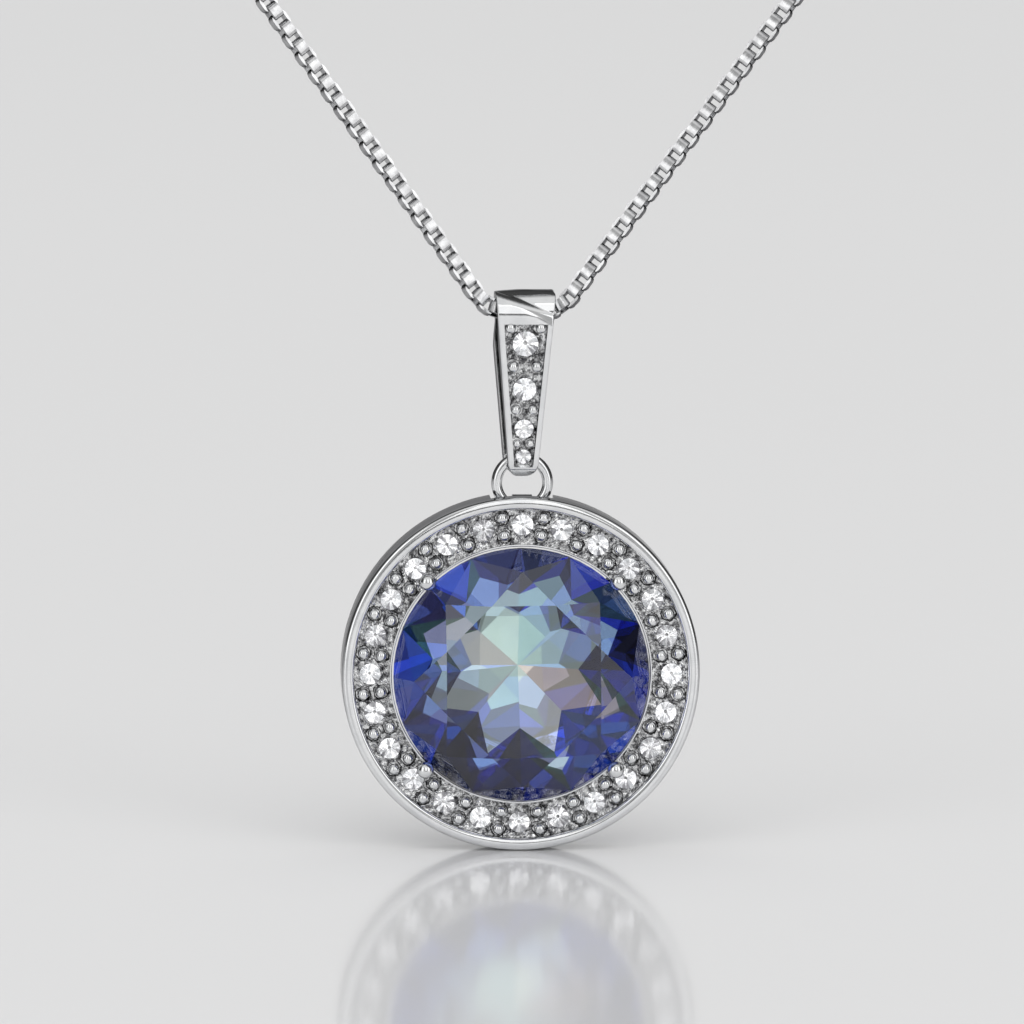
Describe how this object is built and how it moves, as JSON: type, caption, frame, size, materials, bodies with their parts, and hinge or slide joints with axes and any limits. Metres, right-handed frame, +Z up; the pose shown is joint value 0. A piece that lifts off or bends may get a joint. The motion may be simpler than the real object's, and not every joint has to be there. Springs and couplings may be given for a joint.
{
  "type": "pendant necklace",
  "caption": "Box chain necklace with a tapered stone-set bail, a jump ring and a round halo pendant that holds a faceted blue stone in prongs.",
  "frame": {"origin": "on the axis of the display peg that holds the chain, halfway between the front and back turns", "axes": "+Z up, opposite to the way the pendant hangs; -Y out of the pendant's face towards the viewer; +X to the viewer's right"},
  "size_m": [0.0516, 0.0077, 0.0937],
  "materials": {
    "chain_silver": "rhodium-plated silver box links, bright",
    "polished_silver": "rhodium-plated silver, mirror polish",
    "set_silver": "rhodium-plated silver, cut and stippled round the stones",
    "spring_steel": "drawn spring wire",
    "clear_stone": "colourless faceted stone",
    "blue_stone": "faceted stone with a coated pavilion, royal blue at the crown and pale teal through the table"
  },
  "bodies": {
    "chain": {"chain_left": "chain_silver", "chain_right": "chain_silver", "coil_left": "chain_silver", "coil_right": "chain_silver", "tail_left": "chain_silver", "tail_right": "chain_silver", "end_cap_left": "polished_silver", "end_cap_right": "polished_silver", "end_link": "polished_silver", "catch_ring": "polished_silver", "clasp_eyelet": "polished_silver", "clasp_body": "polished_silver", "clasp_spring": "spring_steel"},
    "clasp_tongue": {"clasp_tongue": "polished_silver"},
    "bail": {"bail_frame": "polished_silver", "bail_stones": "clear_stone", "bail_grains": "polished_silver"},
    "jump_ring": {"jump_ring": "polished_silver"},
    "pendant": {"hanger_eye": "polished_silver", "rim": "polished_silver", "halo_bed": "set_silver", "halo_stones": "clear_stone", "halo_grains": "polished_silver", "stone_collar": "polished_silver", "centre_stone": "blue_stone", "prongs": "polished_silver", "gallery_rail": "polished_silver", "base_rail": "polished_silver"}
  },
  "joints": [
    {"name": "bail_swing", "type": "hinge", "parent": "chain", "child": "bail", "pos_m": [0, 0, -0.041], "axis": [1, 0, 0], "range_deg": [-60, 60]},
    {"name": "ring_turn", "type": "hinge", "parent": "bail", "child": "jump_ring", "pos_m": [0, 0, -0.04892], "axis": [0, 1, 0], "range_deg": [-40, 40]},
    {"name": "pendant_swing", "type": "hinge", "parent": "jump_ring", "child": "pendant", "pos_m": [0, 0, -0.0501], "axis": [1, 0, 0], "range_deg": [-10, 60]},
    {"name": "tongue_slide", "type": "hinge", "parent": "chain", "child": "clasp_tongue", "pos_m": [0, 0, 0.02684], "axis": [0, 0, 1], "range_deg": [-50, 0], "stiffness_Nm_per_rad": 0.001, "deforming": ["clasp_spring"]}
  ]
}
